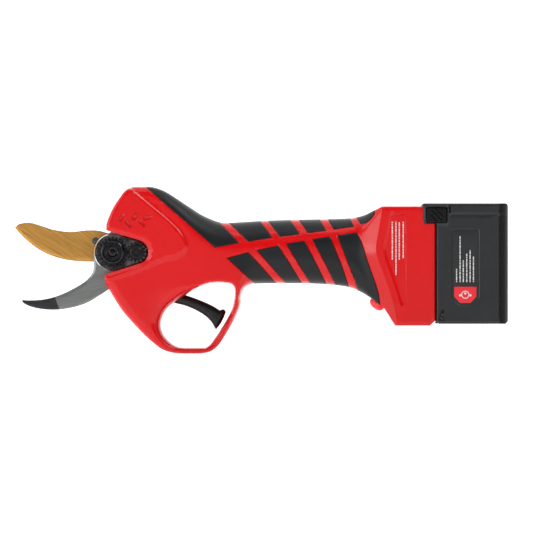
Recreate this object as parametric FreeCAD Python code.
"""Battery electric pruner: a hollow two-part housing with a finger ring, a swinging cutting blade
over a hooked counter-blade, a brushless motor with two planetary stages and a bevel sector, and a
battery that lifts off upwards.

Frame: millimetres, +X from the blades to the battery, +Z up, +Y to the right-hand side of the tool.
The origin is under the middle of the tool, at the height of the finger ring's foot.
"""
import FreeCAD, Part

import math
import os

V = FreeCAD.Vector

# ---- driving dimensions -------------------------------------------------------------------------

PIVOT_X = -102.5          # blade pivot, axis along Y
DRIVE_Z = 70.0            # height of the pivot and of the motor and gear axis
DRIVE_Y = 1.0             # the motor and gear axis stands this far right of the parting plane

HALF_HEAD = 16.5          # half widths of the housing
HALF_GRIP = 19.5
HALF_REAR = 23.0
HALF_RING = 10.5
WALL = 2.4
PAD_DEPTH = 0.8

BATTERY_FRONT = 120.6
BATTERY_REAR = 170.4
BATTERY_BASE = 20.6
BATTERY_TOP = 103.8
HALF_BATTERY = 23.8
LID_SPLIT = 95.8
LEDGE_FRONT = 111.0
LATCH_FACE = 24.2
EAR_BASE = 89.2

BLADE_TIP = -170.4
BLADE_LAYER = (-2.2, 0.8)      # depth of each layer on the pivot bolt, along Y
COUNTER_LAYER = (-5.8, -2.3)
PLATE_LAYER = (-8.8, -5.8)
NUT_LAYER = (-11.8, -8.9)
HUB_LAYER = (0.8, 11.0)
FRAME_LAYER = (11.4, 13.9)
BOLT_R = 5.0
THREAD_R = 4.5
RUNNING = 0.05                 # radial clearance of a running fit

BEVEL_MODULE = 1.0
PINION_TEETH = 12
SECTOR_TEETH = 56              # teeth of the full circle
SECTOR_FIRST = -10             # first and last tooth left on the sector
SECTOR_LAST = 1
FACE_WIDTH = 7.0

PLANET_MODULE = 0.5
SUN_TEETH = 12
PLANET_TEETH = 18
RING_TEETH = 48
GEARBOX_R = 14.2
MOTOR_R = 15.0
SHAFT_R = 3.0
MOTOR_SHAFT_R = 2.0

ADJUST_MODULE = 0.8333
NUT_TEETH = 24
ADJUSTER_TEETH = 15
ADJUSTER_X = PIVOT_X + ADJUST_MODULE * (NUT_TEETH + ADJUSTER_TEETH) / 2

TRIGGER_X, TRIGGER_Z = -69.7, 42.6
TRIGGER_HALF = 4.5
SPRING_TOP = 52.7
CELL_R, CELL_LENGTH = 9.2, 65.0
RIB = 2.0
BOARD = (37.5, 98.0)           # ends of the control board
BOARD_Y = (-3.0, -1.4)         # its two faces
BOARD_HOLES = (60.0, 83.0)     # heights of its fixing holes
SWITCH = (86.0, 41.7)          # middle of the power button's switch, in the side view

X_AXIS, Y_AXIS, Z_AXIS = V(1, 0, 0), V(0, 1, 0), V(0, 0, 1)
PIVOT = V(PIVOT_X, 0, DRIVE_Z)

# ---- outlines in the side view, as (X, Z); see wire() for how the runs are read ------------------

HOUSING_START = (-107.9, 51.5)
HOUSING_RUNS = [
    [(-106.7, 89.3)], [(-102.8, 99.0), (-96.5, 109.0)], [(-93.0, 113.0), (-88.5, 115.4)],
    [(-78.0, 115.5)], [(-68.5, 113.1), (-58.0, 107.0)], [(-46.0, 99.0)],
    [(-38.0, 94.3), (-28.5, 90.9)], [(-22.5, 90.7)], [(10.0, 92.3), (41.0, 92.9)],
    [(61.0, 93.6)], [(71.0, 95.6), (83.3, 101.8)], [(120.2, 101.8)], [(120.2, 23.0)],
    [(116.3, 19.3)], [(92.3, 19.3)], [(85.3, 31.0)], [(76.0, 38.4)],
    [(71.5, 42.0), (61.0, 46.0)], [(50.0, 47.8), (34.0, 48.5)], [(0.0, 48.5)],
    [(-9.8, 47.0), (-14.2, 39.6)], [(-14.6, 34.4)], [(-20.4, 20.2), (-29.4, 6.0)],
    [(-35.0, 1.4), (-42.0, 0.0)], [(-55.0, 0.0)], [(-64.0, 1.45), (-72.0, 5.5)],
    [(-89.5, 22.2), (-104.0, 42.5)],
]
RING_HOLE_START = (-25.0, 48.6)
RING_HOLE_RUNS = [
    [(-37.0, 48.0), (-45.0, 44.7)], [(-56.0, 38.0)], [(-63.5, 32.6), (-68.2, 26.0)],
    [(-69.5, 19.5), (-66.5, 12.0)], [(-62.0, 7.0)], [(-58.5, 4.6), (-53.0, 3.6)],
    [(-38.5, 3.6)], [(-36.0, 5.2), (-34.0, 7.5)], [(-24.4, 21.5), (-18.8, 34.0)],
    [(-17.9, 39.5), (-18.2, 44.5)], [(-20.2, 47.8)],
]
MOUTH_START = (-112.0, 52.0)
MOUTH_RUNS = [
    [(-107.6, 54.4)], [(-103.0, 56.2)], [(-87.5, 61.0)], [(-77.6, 70.0), (-86.0, 79.0)],
    [(-105.3, 84.8)], [(-112.0, 87.0)],
]
BLADE_START = (BLADE_TIP, 87.2)
BLADE_RUNS = [
    [(-167.5, 89.3), (-164.0, 90.1)],
    [(-160.0, 90.4), (-152.0, 88.3), (-144.0, 85.7), (-132.0, 84.1), (-120.0, 85.2),
     (-112.0, 84.9), (-105.0, 83.0)],
    [(-91.0, 76.5), (-91.5, 62.5)], [(-102.5, 56.5), (-113.0, 61.6)], [(-115.5, 63.6)],
    [(-125.0, 63.8), (-135.0, 65.0), (-145.0, 67.8), (-155.0, 72.9), (-165.0, 81.5),
     (BLADE_TIP, 87.2)],
]
COUNTER_START = (-165.4, 37.1)
COUNTER_RUNS = [
    [(-156.0, 36.9), (-148.0, 37.9), (-140.0, 40.1), (-132.0, 43.7), (-124.5, 47.8),
     (-118.5, 52.8), (-116.0, 57.5), (-115.6, 65.0)],
    [(-112.5, 77.5), (-106.3, 82.3)], [(-103.3, 84.6)], [(-103.3, 91.0)],
    [(-99.5, 94.2), (-95.2, 91.0)], [(-95.2, 80.2)], [(-90.0, 70.0), (-95.2, 59.8)],
    [(-95.2, 49.5)], [(-98.0, 45.2), (-103.5, 45.6)],
    [(-112.0, 40.0), (-120.0, 35.3), (-128.0, 32.5), (-136.0, 30.9), (-144.0, 30.3),
     (-152.0, 30.9), (-160.0, 32.8), (-165.4, 37.1)],
]
TRIGGER_START = (-69.7, 47.4)
TRIGGER_RUNS = [
    [(-60.0, 45.2)], [(-52.3, 40.5)], [(-41.0, 36.4), (-28.2, 29.8)],
    [(-25.8, 30.6), (-24.3, 28.8)], [(-26.6, 22.6), (-30.8, 16.8)], [(-31.8, 17.3)],
    [(-38.5, 25.8), (-50.0, 32.2)], [(-60.0, 34.9)], [(-69.7, 37.8)],
]

# upper edge and lower edge of every soft pad, left to right
PADS = [
    [(-79.9, 118), (-31.7, 73.3), (-14.8, 76.4), (-28.5, 93), (-50, 112)],
    [(-22.5, 93), (-0.4, 94), (8.1, 80.0), (-8.9, 77.3)],
    [(4.5, 94), (20.3, 95), (27.0, 82.5), (13.1, 80.6)],
    [(25.2, 95), (40.9, 95), (45.0, 85.0), (32.3, 83.2)],
    [(45.7, 95), (61.4, 96), (64.3, 87.8), (50.2, 85.7)],
    [(65.7, 96), (78.3, 101), (78.8, 97.5), (75.5, 92.0), (69.0, 89.0)],
    [(-23.6, 66.1), (-8.6, 70.1), (13.2, 46), (-1.9, 46)],
    [(-2.9, 71.5), (12.0, 74.7), (30.2, 46), (19.3, 46)],
    [(17.2, 75.9), (30.0, 78.0), (46.5, 46), (35.5, 46)],
    [(35.2, 79.0), (47.6, 81.0), (61.9, 44), (52.9, 44)],
    [(52.4, 81.6), (66.2, 83.8), (72.3, 67.6), (79.0, 48.7), (82.4, 32.5), (67.1, 40.0)],
]


# ---- helpers ------------------------------------------------------------------------------------

def wire(start, runs, y=0.0):
    """Closed wire at depth y. A run of one point is a straight line to it, a run of two an arc
    through the first to the second, and a longer run a smooth curve through all its points."""
    at = V(start[0], y, start[1])
    edges = []
    for run in runs + [[start]]:
        points = [at] + [V(x, y, z) for x, z in run]
        at = points[-1]
        if (points[0] - at).Length < 1e-6:
            continue
        if len(points) == 2:
            edges.append(Part.makeLine(*points))
        elif len(points) == 3:
            edges.append(Part.Arc(*points).toShape())
        else:
            curve = Part.BSplineCurve()
            curve.interpolate(points)
            edges.append(curve.toShape())
    return Part.Wire(edges)


def slab(start, runs, y0, y1, grow=0.0):
    """A plate with the given side outline, from depth y0 to y1, its edge moved outwards by grow."""
    face = Part.Face(wire(start, runs, y0))
    if grow:
        face = face.makeOffset2D(grow)
    return face.extrude(V(0, y1 - y0, 0))


def prism(points, along):
    """A straight prism on a polygon of vectors."""
    return Part.Face(Part.makePolygon(points + points[:1])).extrude(along)


def prism_y(points, y0, y1):
    return prism([V(x, y0, z) for x, z in points], V(0, y1 - y0, 0))


def prism_x(points, x0, x1):
    return prism([V(x0, y, z) for y, z in points], V(x1 - x0, 0, 0))


def rod_x(r, x0, x1, y=DRIVE_Y, z=DRIVE_Z):
    return Part.makeCylinder(r, x1 - x0, V(x0, y, z), X_AXIS)


def rod_y(r, x, z, y0, y1):
    return Part.makeCylinder(r, y1 - y0, V(x, y0, z), Y_AXIS)


def rod_z(r, x, y, z0, z1):
    return Part.makeCylinder(r, z1 - z0, V(x, y, z0), Z_AXIS)


def box(x0, x1, y0, y1, z0, z1):
    return Part.makeBox(x1 - x0, y1 - y0, z1 - z0, V(x0, y0, z0))


def union(shapes):
    return shapes[0].multiFuse(shapes[1:]).removeSplitter() if len(shapes) > 1 else shapes[0]


def minus(shape, *tools):
    return shape.cut(list(tools))


def tube_x(r_out, r_in, x0, x1):
    return minus(rod_x(r_out, x0, x1), rod_x(r_in, x0 - 1, x1 + 1))


def mirrored(shape):
    """The same shape on the other side of the parting plane."""
    return shape.mirror(V(0, 0, 0), Y_AXIS)


def around_x(shape, degrees):
    return shape.rotated(V(0, DRIVE_Y, DRIVE_Z), X_AXIS, degrees)


def involute(angle):
    return math.tan(angle) - angle


def gear_points(teeth, module, tip, root, thickness, phase=0.0, pressure=20.0):
    """Outline of a spur gear about (0, 0): straight chords on involute flanks, a tooth centred on
    the angle phase, thickness measured along the pitch circle."""
    pitch = teeth * module / 2
    alpha = math.radians(pressure)
    base = pitch * math.cos(alpha)
    radii = [root] + [max(base, root) + (tip - max(base, root)) * k / 3 for k in range(4)]
    if radii[1] - radii[0] < 0.02:
        radii = radii[1:]
    half = []
    for r in radii:
        at = math.acos(min(1.0, base / r))
        half.append(thickness / (2 * pitch) + involute(alpha) - involute(at))
    points = []
    for k in range(teeth):
        centre = phase + 2 * math.pi * k / teeth
        flank = [(r, centre - h) for r, h in zip(radii, half)]
        flank += [(r, centre + h) for r, h in zip(radii[::-1], half[::-1])]
        points += [(r * math.cos(a), r * math.sin(a)) for r, a in flank]
    return points


def gear_x(points, x0, x1, dy=0.0, dz=0.0):
    """A spur gear on the drive axis; its outline's first direction is +Y and its second +Z."""
    return prism_x([(DRIVE_Y + dy + a, DRIVE_Z + dz + b) for a, b in points], x0, x1)


def toward_apex(points, apex, ratio):
    """The solid between a polygon and the same polygon shrunk towards the apex, all faces flat."""
    small = [apex + (p - apex) * ratio for p in points]
    faces = [Part.Face(Part.makePolygon(points + points[:1]))]
    faces.append(Part.Face(Part.makePolygon(small[::-1] + small[-1:])))
    count = len(points)
    for k in range(count):
        nxt = (k + 1) % count
        ring = [points[k], points[nxt], small[nxt], small[k], points[k]]
        faces.append(Part.Face(Part.makePolygon(ring)))
    solid = Part.Solid(Part.makeShell(faces))
    if solid.Volume < 0:
        solid.reverse()
    return solid


# ---- housing ------------------------------------------------------------------------------------

def plan_prism(inset):
    """Everything between the two sides of the housing: narrow head, fuller grip, wide rear."""
    half = [(-115, HALF_HEAD), (-82, HALF_HEAD), (-60, 18.0), (-30, 19.2), (0, HALF_GRIP),
            (62, HALF_GRIP), (80, 22.0), (90, HALF_REAR), (125, HALF_REAR)]
    side = [V(x, y - inset, -5) for x, y in half]
    other = [V(x, inset - y, -5) for x, y in reversed(half)]
    return prism(side + other, V(0, 0, 130))


def front_prism(inset):
    """The head narrows towards the finger ring; the grip and the rear do not."""
    half = [(120, 25.0), (52, 25.0), (22, HALF_RING + 1.5), (-5, HALF_RING)]
    side = [(y - inset, z) for z, y in half]
    other = [(inset - y, z) for z, y in reversed(half)]
    return union([prism_x(side + other, -115, -11), box(-12, 125, -26, 26, -5, 120)])


def housing_body(inset):
    body = slab(HOUSING_START, HOUSING_RUNS, -26, 26, -inset)
    hole = slab(RING_HOLE_START, RING_HOLE_RUNS, -27, 27, inset)
    return minus(body, hole).common(plan_prism(inset)).common(front_prism(inset))


# a screw's place in the side view, and how far its bosses reach from the parting plane
SCREWS = [(-84.0, 107.0, 15.5), (-56.0, 98.5, 17.0), (-86.5, 37.0, 15.5), (33.0, 87.0, 18.5),
          (33.0, 53.5, 18.5), (104.0, 94.0, 22.0), (104.0, 27.0, 22.0)]


def button_axis():
    """The power button stands on the slope under the rear of the grip."""
    slope = V(9.3, 0, -7.2)
    slope.normalize()
    return V(80.65, 0, 34.8), V(slope.z, 0, -slope.x)


def cradle_ribs(inner):
    """Ribs across the inside that carry the gearbox and the motor."""
    ribs = []
    for x, r in ((-41.0, GEARBOX_R), (-20.0, MOTOR_R), (18.0, MOTOR_R)):
        rib = inner.common(box(x, x + RIB, -26, 26, 34, 120))
        ribs.append(minus(rib, rod_x(r + RUNNING, x - 1, x + RIB + 1)))
    return ribs


def board_posts():
    """Posts on the left-hand wall for the control board, with a peg in each of its holes, and one
    that backs the button's switch."""
    posts = [rod_y(2.2, SWITCH[0], SWITCH[1], -20.8, -3.65)]
    for x, root in ((BOARD[0] + 4, -17.4), (BOARD[1] - 4, -21.0)):
        for z in BOARD_HOLES:
            posts.append(rod_y(2.2, x, z, root, BOARD_Y[0] - RUNNING))
            posts.append(rod_y(1.5 - RUNNING, x, z, root, BOARD_Y[1] + 0.8))
    return posts


def housing():
    outer = housing_body(0.0)
    inner = housing_body(WALL).common(box(-120, 125, -26, 26, 34, 120))
    shell = minus(outer, inner, slab(MOUTH_START, MOUTH_RUNS, -26, 26))
    trigger_slot = [(-79, 36), (-66.5, 30.5), (-50, 37), (-22, 44), (-22, 53), (-79, 53)]
    foot, out = button_axis()
    button_hole = Part.makeCylinder(5.9, 14, foot - out * 6, out)
    ear = [box(110.6, 121, s, s + 4, EAR_BASE - 0.4, 103) for s in (19.8, -23.8)]
    shell = minus(
        shell,
        prism_y(trigger_slot, -TRIGGER_HALF - 0.9, TRIGGER_HALF + 0.9),
        button_hole,
        Part.makeCylinder(7.0, 3.6, foot - out * 6.4, out),
        box(-109, -99, COUNTER_LAYER[0] - 0.3, COUNTER_LAYER[1] + 0.3, 42, 57),
        box(116, 121, -6, 6, 40, 75),
        *ear,
    )
    skin = minus(outer, housing_body(PAD_DEPTH))
    pads = skin.common(Part.makeCompound([prism_y(p, -26, 26) for p in PADS]))
    shell = minus(shell, pads)
    pads = minus(pads, button_hole)
    bosses = cradle_ribs(inner) + board_posts()
    holes = []
    for x, z, deep in SCREWS:
        bosses.append(rod_y(3.6, x, z, -deep, deep))
        holes += [rod_y(1.25, x, z, -9, 1), rod_y(1.6, x, z, 0, 26), rod_y(3.1, x, z, 10, 26)]
    shell = minus(union([shell] + bosses), *holes)
    left = shell.common(box(-130, 130, -30, 0, -5, 120))
    right = shell.common(box(-130, 130, 0, 30, -5, 120))
    pads_left = pads.common(box(-130, 130, -30, 0, -5, 120))
    pads_right = pads.common(box(-130, 130, 0, 30, -5, 120))
    return left, right, pads_left, pads_right


def housing_screws():
    screws = []
    for x, z, _ in SCREWS:
        head = union([rod_y(2.9, x, z, 10, 12.4), rod_y(1.25, x, z, -8, 10)])
        screws.append(minus(head, rod_y(1.2, x, z, 11, 13)))
    return Part.makeCompound(screws)


# ---- cutting head -------------------------------------------------------------------------------

DOWEL = (PIVOT_X - 11.8, DRIVE_Z + 7.8)
ARMS = [(-99.5, 89.5), (-99.8, 50.5)]      # where the counter-blade is screwed to the frame


def cutting_blade():
    blade = slab(BLADE_START, BLADE_RUNS, *BLADE_LAYER)
    return minus(blade, rod_y(BOLT_R + RUNNING, PIVOT_X, DRIVE_Z, -5, 5), rod_y(2.6, *DOWEL, -5, 5))


def counter_blade():
    blade = slab(COUNTER_START, COUNTER_RUNS, *COUNTER_LAYER)
    holes = [rod_y(2.05, x, z, -7, 0) for x, z in ARMS]
    return minus(blade, rod_y(BOLT_R, PIVOT_X, DRIVE_Z, -7, 0), *holes)


def blade_dowel():
    return rod_y(2.6, *DOWEL, BLADE_LAYER[0], HUB_LAYER[0] + 3.6)


def gear_segment():
    """Bevel sector behind the blade, its pitch cone's apex on the crossing of both axes."""
    apex = V(PIVOT_X, DRIVE_Y, DRIVE_Z)
    wide = BEVEL_MODULE * SECTOR_TEETH / 2
    rise = BEVEL_MODULE * PINION_TEETH / 2
    slope = (rise + 1.5) / wide
    y0, y1 = HUB_LAYER
    bore = BOLT_R + RUNNING
    profile = [(bore, y0), (9.0, y0), (9.0, 5.0), (18.5, DRIVE_Y + 18.5 * slope),
               (28.4, DRIVE_Y + 28.4 * slope), (28.4, y1), (bore, y1)]
    ring = Part.Face(Part.makePolygon([V(PIVOT_X + r, y, DRIVE_Z) for r, y in profile + profile[:1]]))
    blank = ring.revolve(PIVOT, Y_AXIS, 360)
    step = 360.0 / SECTOR_TEETH
    lo, hi = math.radians(SECTOR_FIRST * step - 1), math.radians((SECTOR_LAST + 1) * step + 1)
    corner = [(PIVOT_X, DRIVE_Z)]
    for k in range(7):
        a = lo + (hi - lo) * k / 6
        corner.append((PIVOT_X + 40 * math.cos(a), DRIVE_Z + 40 * math.sin(a)))
    sector = union([prism_y(corner, y0 - 1, y1 + 1), rod_y(10.5, PIVOT_X, DRIVE_Z, y0 - 1, y1 + 1)])
    lug = union([rod_y(4.4, *DOWEL, y0, y0 + 3.6),
                 prism_y([(PIVOT_X - 2.4, DRIVE_Z - 6), (DOWEL[0] - 2.4, DOWEL[1] - 3.7),
                          (DOWEL[0] + 2.4, DOWEL[1] + 3.7), (PIVOT_X + 3, DRIVE_Z + 7)], y0, y0 + 3.6)])
    body = union([blank.common(sector), minus(lug, rod_y(bore + 1, PIVOT_X, DRIVE_Z, 0, 9))])
    teeth = []
    for k in range(SECTOR_FIRST, SECTOR_LAST + 1):
        a = math.radians((k + 0.5) * step)
        out, side = V(math.cos(a), 0, math.sin(a)), V(-math.sin(a), 0, math.cos(a))
        lean = (out * rise - Y_AXIS * wide) * (1 / math.hypot(rise, wide))
        foot = apex + out * wide + Y_AXIS * rise
        corners = []
        for height, sign in [(0.7, 1), (0.7, -1), (-1.9, -1), (-1.9, 1)]:
            half = 1.24 / 2 - height * math.tan(math.radians(20))
            corners.append(foot + lean * height + side * (half * sign))
        teeth.append(toward_apex(corners, apex, 1 - FACE_WIDTH / wide))
    return minus(union([body] + teeth), rod_y(2.6, *DOWEL, y0 - 1, y0 + 5))


def bevel_pinion():
    apex = V(PIVOT_X, DRIVE_Y, DRIVE_Z)
    wide = BEVEL_MODULE * SECTOR_TEETH / 2
    outline = gear_points(PINION_TEETH, BEVEL_MODULE, 7.2, 5.05, 1.70)
    big = [V(PIVOT_X + wide, DRIVE_Y + a, DRIVE_Z + b) for a, b in outline]
    teeth = toward_apex(big, apex, 1 - FACE_WIDTH / wide)
    return minus(union([teeth, rod_x(4.8, PIVOT_X + wide, -72.3)]), rod_x(SHAFT_R, -90, -70))


def output_shaft():
    return rod_x(SHAFT_R, PIVOT_X + 21.2, -49)


def pivot_bolt():
    head = prism_y(regular(6, 7.8, PIVOT_X, DRIVE_Z), 13.9, 16.3)
    shank = union([head, rod_y(BOLT_R, PIVOT_X, DRIVE_Z, PLATE_LAYER[0], 14),
                   rod_y(THREAD_R, PIVOT_X, DRIVE_Z, -13.6, PLATE_LAYER[0])])
    return minus(shank, prism_y(regular(6, 2.2, PIVOT_X, DRIVE_Z), -14, -11.5))


def regular(sides, r, x, z):
    return [(x + r * math.cos(2 * math.pi * k / sides), z + r * math.sin(2 * math.pi * k / sides))
            for k in range(sides)]


def pivot_plate():
    """Pear-shaped plate under the nut and the adjuster."""
    y0, y1 = PLATE_LAYER
    big, small = 12.9, 7.6
    lean = math.acos((big - small) / (ADJUSTER_X - PIVOT_X))
    c, s = math.cos(lean), math.sin(lean)
    flank = [(PIVOT_X + big * c, DRIVE_Z + big * s), (ADJUSTER_X + small * c, DRIVE_Z + small * s),
             (ADJUSTER_X + small * c, DRIVE_Z - small * s), (PIVOT_X + big * c, DRIVE_Z - big * s)]
    start = flank[3]
    runs = [[(PIVOT_X - big, DRIVE_Z), flank[0]], [flank[1]],
            [(ADJUSTER_X + small, DRIVE_Z), flank[2]]]
    plate = slab(start, runs, y0, y1)
    rim = [e for e in plate.Edges if abs(e.BoundBox.YMin - y0) < 1e-6 and e.BoundBox.YLength < 1e-6]
    plate = plate.makeChamfer(0.9, rim)
    return minus(plate, rod_y(BOLT_R, PIVOT_X, DRIVE_Z, y0 - 1, y1 + 1))


def toothed_nut():
    y0, y1 = NUT_LAYER
    outline = gear_points(NUT_TEETH, ADJUST_MODULE, 10.75, 8.95, ADJUST_MODULE * math.pi / 2 - 0.12)
    body = prism_y([(PIVOT_X + a, DRIVE_Z + b) for a, b in outline], y0, y1)
    collar = rod_y(7.4, PIVOT_X, DRIVE_Z, -14.3, y0)
    rim = [e for e in collar.Edges if abs(e.BoundBox.YMin + 14.3) < 1e-6 and e.BoundBox.YLength < 1e-6]
    collar = collar.makeChamfer(0.7, rim)
    dish = rod_y(6.0, PIVOT_X, DRIVE_Z, -16, -13.2)
    return minus(union([body, collar]), dish, rod_y(THREAD_R + RUNNING, PIVOT_X, DRIVE_Z, -16, 0))


def adjuster_pinion():
    y0, y1 = NUT_LAYER
    tooth = math.pi / ADJUSTER_TEETH
    outline = gear_points(ADJUSTER_TEETH, ADJUST_MODULE, 7.02, 5.22,
                          ADJUST_MODULE * math.pi / 2 - 0.12, math.pi + tooth)
    body = prism_y([(ADJUSTER_X + a, DRIVE_Z + b) for a, b in outline], y0, y1)
    collar = rod_y(3.9, ADJUSTER_X, DRIVE_Z, -13.4, y0)
    socket = prism_y(regular(6, 2.5, ADJUSTER_X, DRIVE_Z), -14, -11.4)
    bore = rod_y(2.0 + RUNNING, ADJUSTER_X, DRIVE_Z, -10.9, y1 + 1)
    mark = rod_y(0.7, ADJUSTER_X - 2.4, DRIVE_Z + 4.0, y0 - 1, y0 + 0.6)
    return minus(union([body, collar]), socket, bore, mark)


def adjuster_pin():
    return rod_y(2.0, ADJUSTER_X, DRIVE_Z, -10.8, PLATE_LAYER[0])


def head_frame():
    """Cast frame: back plate on the bolt, two arms to the counter-blade, bearing seat behind."""
    y0, y1 = FRAME_LAYER
    plate = union([
        rod_y(12.9, PIVOT_X, DRIVE_Z, y0, y1),
        prism_y([(-102.6, 92.0), (-96, 92.0), (-66, 80), (-66, 60), (-96, 46.5), (-102.6, 46.5)], y0, y1),
    ])
    arms = [rod_y(4.3, x, z, COUNTER_LAYER[1], y1) for x, z in ARMS]
    wall = box(-71.8, -62.5, -9.4, y1, 60, 80)
    seat = rod_x(9.8, -72.0, -62.0)
    body = union([plate, wall, seat] + arms)
    holes = [rod_y(2.0, x, z, -3, 9) for x, z in ARMS]
    return minus(body, rod_x(7.0, -80, -60), rod_y(BOLT_R, PIVOT_X, DRIVE_Z, y0 - 1, y1 + 1), *holes)


def counter_screws():
    screws = []
    for x, z in ARMS:
        screws.append(union([rod_y(3.4, x, z, COUNTER_LAYER[0] - 1.8, COUNTER_LAYER[0]),
                             rod_y(2.0, x, z, COUNTER_LAYER[0], 7)]))
    return Part.makeCompound(screws)


def shaft_bearings():
    """Two ball bearings side by side in the frame's seat."""
    solids = []
    for x0 in (-71.6, -66.8):
        x1 = x0 + 4.0
        groove = Part.makeTorus(5.0, 0.8, V((x0 + x1) / 2, DRIVE_Y, DRIVE_Z), X_AXIS)
        solids.append(minus(tube_x(7.0, 5.5, x0, x1), groove))
        solids.append(minus(tube_x(4.5, SHAFT_R + RUNNING, x0, x1), groove))
        for k in range(8):
            a = 2 * math.pi * k / 8
            centre = V((x0 + x1) / 2, DRIVE_Y + 5 * math.cos(a), DRIVE_Z + 5 * math.sin(a))
            solids.append(Part.makeSphere(0.78, centre))
    return Part.makeCompound(solids)


# ---- gearbox and motor --------------------------------------------------------------------------

STAGE_1 = {"plate": (-39.0, -36.8), "planets": (-36.2, -31.2), "sun": (-37.0 + 0.6, -30.0)}
STAGE_2 = {"plate": (-49.0, -46.8), "planets": (-46.2, -40.6), "sun": (-46.4, -39.0)}
TOOTH = PLANET_MODULE * math.pi / 2 - 0.05
ARM = PLANET_MODULE * (SUN_TEETH + PLANET_TEETH) / 2


def planet_at(k):
    """Angle about the drive axis of planet k, and its distance along Y and Z."""
    a = 2 * math.pi * k / 3
    return a, ARM * math.cos(a), ARM * math.sin(a)


def sun_gear(x0, x1, bore):
    r = PLANET_MODULE * SUN_TEETH / 2
    gear = gear_x(gear_points(SUN_TEETH, PLANET_MODULE, r + 0.48, r - 0.6, TOOTH), x0, x1)
    return minus(gear, rod_x(bore, x0 - 1, x1 + 1)) if bore else gear


def planet_gear(stage, k):
    a, dy, dz = planet_at(k)
    r = PLANET_MODULE * PLANET_TEETH / 2
    teeth_past = a * SUN_TEETH / (2 * math.pi)
    phase = a + math.pi + (teeth_past - 0.5) * 2 * math.pi / PLANET_TEETH
    outline = gear_points(PLANET_TEETH, PLANET_MODULE, r + 0.48, r - 0.6, TOOTH, phase)
    x0, x1 = stage["planets"]
    bore = rod_x(1.5 + RUNNING, x0 - 1, x1 + 1, DRIVE_Y + dy, DRIVE_Z + dz)
    return minus(gear_x(outline, x0, x1, dy, dz), bore)


def planet_carrier(stage):
    x0, x1 = stage["plate"]
    pins = []
    for k in range(3):
        _, dy, dz = planet_at(k)
        pins.append(rod_x(1.5, x1, stage["planets"][1] + 0.4, DRIVE_Y + dy, DRIVE_Z + dz))
    hub = SHAFT_R if stage is STAGE_2 else 2.4
    return union([minus(rod_x(10.8, x0, x1), rod_x(hub, x0 - 1, x1 + 1))] + pins)


def sun_gear_2():
    """Second sun, on a stub through the first carrier."""
    return union([sun_gear(*STAGE_2["sun"], 0), rod_x(2.4, -39.0, STAGE_1["plate"][1])])


def ring_gear():
    r = PLANET_MODULE * RING_TEETH / 2
    cutter = gear_points(RING_TEETH, PLANET_MODULE, r + 0.62, r - 0.45, PLANET_MODULE * math.pi / 2 + 0.06,
                         math.pi / RING_TEETH)
    return minus(rod_x(13.1, -50.5, -29.0), gear_x(cutter, -52, -28))


def gearbox_case():
    shell = minus(rod_x(GEARBOX_R, -54.0, -26.0), rod_x(13.1, -52.0, -29.0), rod_x(10.0, -30, -25),
                  rod_x(SHAFT_R + 0.4, -55, -51))
    snout = minus(rod_x(7.5, -61.9, -54.0), rod_x(SHAFT_R + 0.4, -63, -53))
    return union([shell, snout])


def motor_can():
    can = minus(rod_x(MOTOR_R, -26.0, 28.0), rod_x(MOTOR_R - 1.4, -24.0, 26.0), rod_x(3.2, -27, 29))
    vents = []
    for k in range(6):
        slot = box(22, 29, DRIVE_Y - 1.2, DRIVE_Y + 1.2, DRIVE_Z + 6, DRIVE_Z + 11)
        vents.append(around_x(slot, 60 * k + 30))
    return minus(can, *vents)


def motor_stator():
    """Six wound teeth inside a yoke."""
    yoke = tube_x(MOTOR_R - 1.4, 11.6, -14.0, 18.0)
    teeth = []
    for k in range(6):
        stem = box(-14, 18, DRIVE_Y - 1.5, DRIVE_Y + 1.5, DRIVE_Z + 8.2, DRIVE_Z + 12)
        teeth.append(around_x(stem, 60 * k))
    return union([yoke] + teeth).common(tube_x(MOTOR_R - 1.4, 8.0, -15, 19))


def motor_windings():
    coils = []
    for k in range(6):
        coil = minus(box(-16.5, 20.5, DRIVE_Y - 3.1, DRIVE_Y + 3.1, DRIVE_Z + 8.8, DRIVE_Z + 11.0),
                     box(-14, 18, DRIVE_Y - 1.5, DRIVE_Y + 1.5, DRIVE_Z + 8, DRIVE_Z + 12))
        coils.append(around_x(coil, 60 * k))
    return Part.makeCompound(coils)


def motor_rotor():
    return union([rod_x(7.4, -13, 17), rod_x(MOTOR_SHAFT_R, STAGE_1["sun"][0], 27.0)])


def motor_bearings():
    return Part.makeCompound([tube_x(3.2, MOTOR_SHAFT_R + RUNNING, x, x + 2.0) for x in (-26.0, 26.0)])


def motor_wires():
    ends = (28.0, BOARD[0])
    return Part.makeCompound([rod_x(1.2, *ends, DRIVE_Y + dy, DRIVE_Z + 11.2) for dy in (0, 4, 8)])


# ---- electronics in the grip --------------------------------------------------------------------

def control_board():
    x0, x1 = BOARD
    board = box(x0, x1, *BOARD_Y, 57, 86)
    return minus(board, *[rod_y(1.5, x, z, -6, 1) for x in (x0 + 4, x1 - 4) for z in BOARD_HOLES])


def board_parts():
    """Capacitors, power transistors, controller and connectors on the board."""
    front, back = BOARD_Y
    solids = [rod_x(5.0, 79, 91, front - 5.2, 66), rod_x(5.0, 79, 91, front - 5.2, 77)]
    for k in range(6):
        solids.append(box(46 + 5.4 * k, 50 + 5.4 * k, back, back + 2.2, 60, 66))
    solids.append(box(54, 62, front - 1.4, front, 66, 74))
    solids.append(box(37.5, 39.9, back, back + 12, 79, 84))
    solids.append(box(90, 97, back, back + 9, 66, 78))
    return Part.makeCompound(solids)


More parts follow.
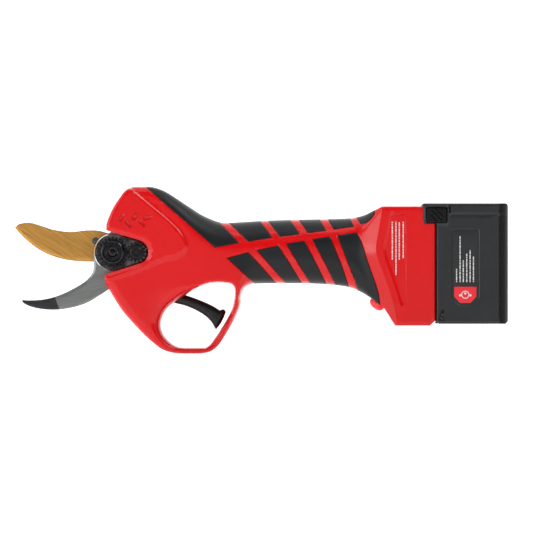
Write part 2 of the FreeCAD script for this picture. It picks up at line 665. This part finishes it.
def power_button():
    """Domed cap on the sloping underside, with a flange that keeps it in."""
    foot, out = button_axis()
    dome = Part.makeSphere(8.0, V(0, 0, -3.5))
    cap = union([Part.makeCylinder(5.6, 9, V(0, 0, -4.2)).common(dome),
                 Part.makeCylinder(6.4, 1.2, V(0, 0, -4.2))])
    cap.Placement = FreeCAD.Placement(foot, FreeCAD.Rotation(Z_AXIS, out))
    return cap


def button_switch():
    foot, out = button_axis()
    return union([Part.makeCylinder(1.6, 1.4, foot - out * 7.2, out),
                  Part.makeCylinder(3.6, 3.0, foot - out * 10.2, out)])


def trigger():
    body = slab(TRIGGER_START, TRIGGER_RUNS, -TRIGGER_HALF, TRIGGER_HALF)
    hub = rod_y(5.0, TRIGGER_X, TRIGGER_Z, -TRIGGER_HALF, TRIGGER_HALF)
    return minus(union([body, hub]), rod_y(1.5 + RUNNING, TRIGGER_X, TRIGGER_Z, -9, 9),
                 rod_z(2.1, -62.0, 0, 43.4, 50), rod_y(1.5, -55.0, 39.5, -2, 2))


def trigger_magnet():
    return rod_y(1.5, -55.0, 39.5, -2, 2)


def trigger_pin():
    return rod_y(1.5, TRIGGER_X, TRIGGER_Z, -7.5, 7.5)


def coil(r, wire_r, turns, foot, axis, length):
    """A round-wire compression spring, from its foot along the axis."""
    pitch = (length - 2 * wire_r) / turns
    helix = Part.makeHelix(pitch, pitch * turns, r)
    start = Part.Wire(Part.makeCircle(wire_r, V(r, 0, 0), Y_AXIS))
    spring = Part.Wire(helix).makePipeShell([start], True, True)
    spring.translate(V(0, 0, wire_r))
    turn = FreeCAD.Rotation(Z_AXIS, axis)
    return spring.transformed(FreeCAD.Placement(foot, turn).toMatrix())


def trigger_spring():
    return coil(1.6, 0.25, 9, V(-62.0, 0, 43.5), Z_AXIS, SPRING_TOP - 43.5)


def sensor_board():
    """Small board above the trigger that reads the magnet."""
    return union([box(-59.6, -44, -4, 4, 53.2, 54.4), box(-56.5, -53.5, -1.5, 1.5, 52.2, 53.2)])


def spring_seat():
    """Cross plate between the walls that the trigger's spring and the sensor board bear on."""
    plate = box(-66, -43.5, -20, 20, 54.4, 55.2).common(plan_prism(WALL + 0.02))
    return union([plate, rod_z(2.2, -62.0, 0, SPRING_TOP, 54.4)])


# ---- battery mount and battery ------------------------------------------------------------------

def battery_rail():
    """T-shaped rail on the rear wall that the battery slides down onto."""
    return union([box(115.4, 117.8, -14, 14, 37, 79), box(117.8, 122.8, -6, 6, 40, 75),
                  box(122.8, 125.8, -9.5, 9.5, 40, 75)])


def tool_contacts():
    return Part.makeCompound([box(123.4, 125.4, y - 0.4, y + 0.4, 75, 81) for y in (-6, 0, 6)])


def battery_outer(inset):
    """Outer form of the battery with its top ledge and side ears, its faces moved in by inset."""
    z0, z1, half = BATTERY_BASE + inset, BATTERY_TOP - inset, HALF_BATTERY - inset
    main = prism_y([(BATTERY_FRONT + inset, z1), (BATTERY_REAR - inset, z1),
                    (BATTERY_REAR - inset, z0 + 1.9), (BATTERY_REAR - inset - 1.9, z0),
                    (BATTERY_FRONT + inset + 1.9, z0), (BATTERY_FRONT + inset, z0 + 1.9)], -half, half)
    edges = [e for e in main.Edges
             if e.BoundBox.ZLength > 60 and abs(e.BoundBox.XMin - BATTERY_REAR + inset) < 1e-6]
    return main.makeFillet(8.0 - inset, edges)


def battery_shell():
    wall = 2.0
    shell = minus(battery_outer(0), battery_outer(wall))
    ledge = box(LEDGE_FRONT, BATTERY_FRONT + 1, -HALF_BATTERY, HALF_BATTERY, 101.95, BATTERY_TOP)
    ears = [box(LEDGE_FRONT, BATTERY_FRONT + 1, 20.1, HALF_BATTERY, EAR_BASE, 102.5)]
    ears.append(mirrored(ears[0]))
    channel = box(BATTERY_FRONT + 1, 128.0, -12, 12, BATTERY_BASE + 1, 84)
    pocket = box(112, 130.5, 17.8, HALF_BATTERY - 1, 88.2, 102.2).common(
        box(BATTERY_FRONT + 0.5, 131, 0, 40, 80, 110))
    shell = union([shell, ledge, channel, pocket, mirrored(pocket)] + ears)
    slot = union([box(BATTERY_FRONT - 1, 123.1, -6.3, 6.3, BATTERY_BASE - 1, 75.3),
                  box(122.5, 126.1, -9.8, 9.8, BATTERY_BASE - 1, 75.3)])
    contacts = [box(122.8, 126.0, y - 1.3, y + 1.3, 75, 82.5) for y in (-6, 0, 6)]
    window = box(113.4, 128.3, 20.1, 26, 89.9, 101.3)
    seat = rod_y(2.2, 124.6, 95.6, 18.6, 21)
    label = box(130.8, 150.5, HALF_BATTERY - 0.6, 26, 33, 86.5)
    return minus(shell, slot, window, mirrored(window), seat, mirrored(seat), label, mirrored(label),
                 *contacts)


def battery_case_and_lid():
    shell = battery_shell()
    over = union([box(128.4, 175, -30, 30, LID_SPLIT, 110), box(105, 175, -30, 30, 101.95, 110)])
    return minus(shell, over), shell.common(over)


def battery_labels():
    plate = box(131.4, 149.9, HALF_BATTERY - 0.6, HALF_BATTERY - 0.2, 33.6, 85.9)
    return Part.makeCompound([plate, mirrored(plate)])


def battery_latch():
    """Pad with slanting grooves in the right side's window, pressed inwards to free the battery."""
    pad = box(113.7, 128.0, 21.4, LATCH_FACE, 90.2, 101.0)
    pad = pad.makeChamfer(0.6, [e for e in pad.Edges if e.BoundBox.YMin > LATCH_FACE - 0.01])
    grooves = []
    for across in (-2.7, 0.0, 2.7):
        groove = box(-4.6, 4.6, LATCH_FACE - 0.8, LATCH_FACE + 1, across - 0.6, across + 0.6)
        groove.rotate(V(0, 0, 0), Y_AXIS, 46)
        groove.translate(V(120.85, 0, 95.6))
        grooves.append(groove)
    return minus(pad, rod_y(2.0, 124.6, 95.6, 21.0, 22.2), *grooves)


def latch_springs():
    spring = coil(1.6, 0.25, 3, V(124.6, 18.7, 95.6), Y_AXIS, 3.4)
    return Part.makeCompound([spring, mirrored(spring)])


CELLS = [(x, y) for x in (138.6, 157.4) for y in (-9.4, 9.4)]
CELL_BASE = 26.0


def battery_cells():
    return Part.makeCompound([union([rod_z(CELL_R, x, y, CELL_BASE, CELL_BASE + CELL_LENGTH - 1),
                                     rod_z(3.0, x, y, CELL_BASE + CELL_LENGTH - 1, CELL_BASE + CELL_LENGTH)])
                              for x, y in CELLS])


def cell_holders():
    """Frames round both ends of the cells."""
    frames = []
    for z0, z1 in ((CELL_BASE + 1, CELL_BASE + 6), (CELL_BASE + CELL_LENGTH - 9, CELL_BASE + CELL_LENGTH - 4)):
        frame = box(128.6, 166.8, -19.4, 19.4, z0, z1)
        frames.append(minus(frame, *[rod_z(CELL_R, x, y, z0 - 1, z1 + 1) for x, y in CELLS]))
    return Part.makeCompound(frames)


def cell_strips():
    """Nickel strips that join the cells in series."""
    top = CELL_BASE + CELL_LENGTH
    strips = [box(x - 4, x + 4, -13, 13, CELL_BASE - 0.3, CELL_BASE) for x in (138.6, 157.4)]
    strips += [box(135, 161, -13, -6, top, top + 0.3), box(135, 143, 6, 13, top, top + 0.3),
               box(153, 161, 6, 13, top, top + 0.3)]
    return Part.makeCompound(strips)


def protection_board():
    board = box(131, 165, -17, 17, 92.6, 94.0)
    chips = [box(138 + 7 * k, 142 + 7 * k, -6, 0, 94.0, 95.2) for k in range(3)]
    return union([board] + chips)


def battery_contacts():
    """Spring clips round the tool's contact blades."""
    clips = []
    for y in (-6, 0, 6):
        clips.append(minus(box(122.8, 126.0, y - 1.3, y + 1.3, 75.8, 82.5),
                           box(122, 127, y - 0.6, y + 0.6, 75, 81.6)))
    return Part.makeCompound(clips)


# ---- every piece --------------------------------------------------------------------------------

def all_parts():
    left, right, pads_left, pads_right = housing()
    case, lid = battery_case_and_lid()
    latch = battery_latch()
    parts = {
        "housing_left": left,
        "housing_right": right,
        "grip_pads_left": pads_left,
        "grip_pads_right": pads_right,
        "housing_screws": housing_screws(),
        "cutting_blade": cutting_blade(),
        "counter_blade": counter_blade(),
        "blade_dowel": blade_dowel(),
        "gear_segment": gear_segment(),
        "bevel_pinion": bevel_pinion(),
        "output_shaft": output_shaft(),
        "pivot_bolt": pivot_bolt(),
        "pivot_plate": pivot_plate(),
        "toothed_nut": toothed_nut(),
        "adjuster_pinion": adjuster_pinion(),
        "adjuster_pin": adjuster_pin(),
        "head_frame": head_frame(),
        "counter_screws": counter_screws(),
        "shaft_bearings": shaft_bearings(),
        "gearbox_case": gearbox_case(),
        "ring_gear": ring_gear(),
        "sun_gear_1": sun_gear(*STAGE_1["sun"], MOTOR_SHAFT_R),
        "sun_gear_2": sun_gear_2(),
        "planet_carrier_1": planet_carrier(STAGE_1),
        "planet_carrier_2": planet_carrier(STAGE_2),
        "motor_can": motor_can(),
        "motor_stator": motor_stator(),
        "motor_windings": motor_windings(),
        "motor_rotor": motor_rotor(),
        "motor_bearings": motor_bearings(),
        "motor_wires": motor_wires(),
        "control_board": control_board(),
        "board_parts": board_parts(),
        "power_button": power_button(),
        "button_switch": button_switch(),
        "trigger": trigger(),
        "trigger_magnet": trigger_magnet(),
        "trigger_pin": trigger_pin(),
        "trigger_spring": trigger_spring(),
        "sensor_board": sensor_board(),
        "spring_seat": spring_seat(),
        "battery_rail": battery_rail(),
        "tool_contacts": tool_contacts(),
        "battery_case": case,
        "battery_lid": lid,
        "battery_labels": battery_labels(),
        "latch_right": latch,
        "latch_left": mirrored(latch),
        "latch_springs": latch_springs(),
        "battery_cells": battery_cells(),
        "cell_holders": cell_holders(),
        "cell_strips": cell_strips(),
        "protection_board": protection_board(),
        "battery_contacts": battery_contacts(),
    }
    for name, stage in (("1", STAGE_1), ("2", STAGE_2)):
        for k, letter in enumerate("abc"):
            parts[f"planet_{name}{letter}"] = planet_gear(stage, k)
    return parts


os.makedirs("parts", exist_ok=True)
for name, shape in all_parts().items():
    shape.exportStep(f"parts/{name}.step")
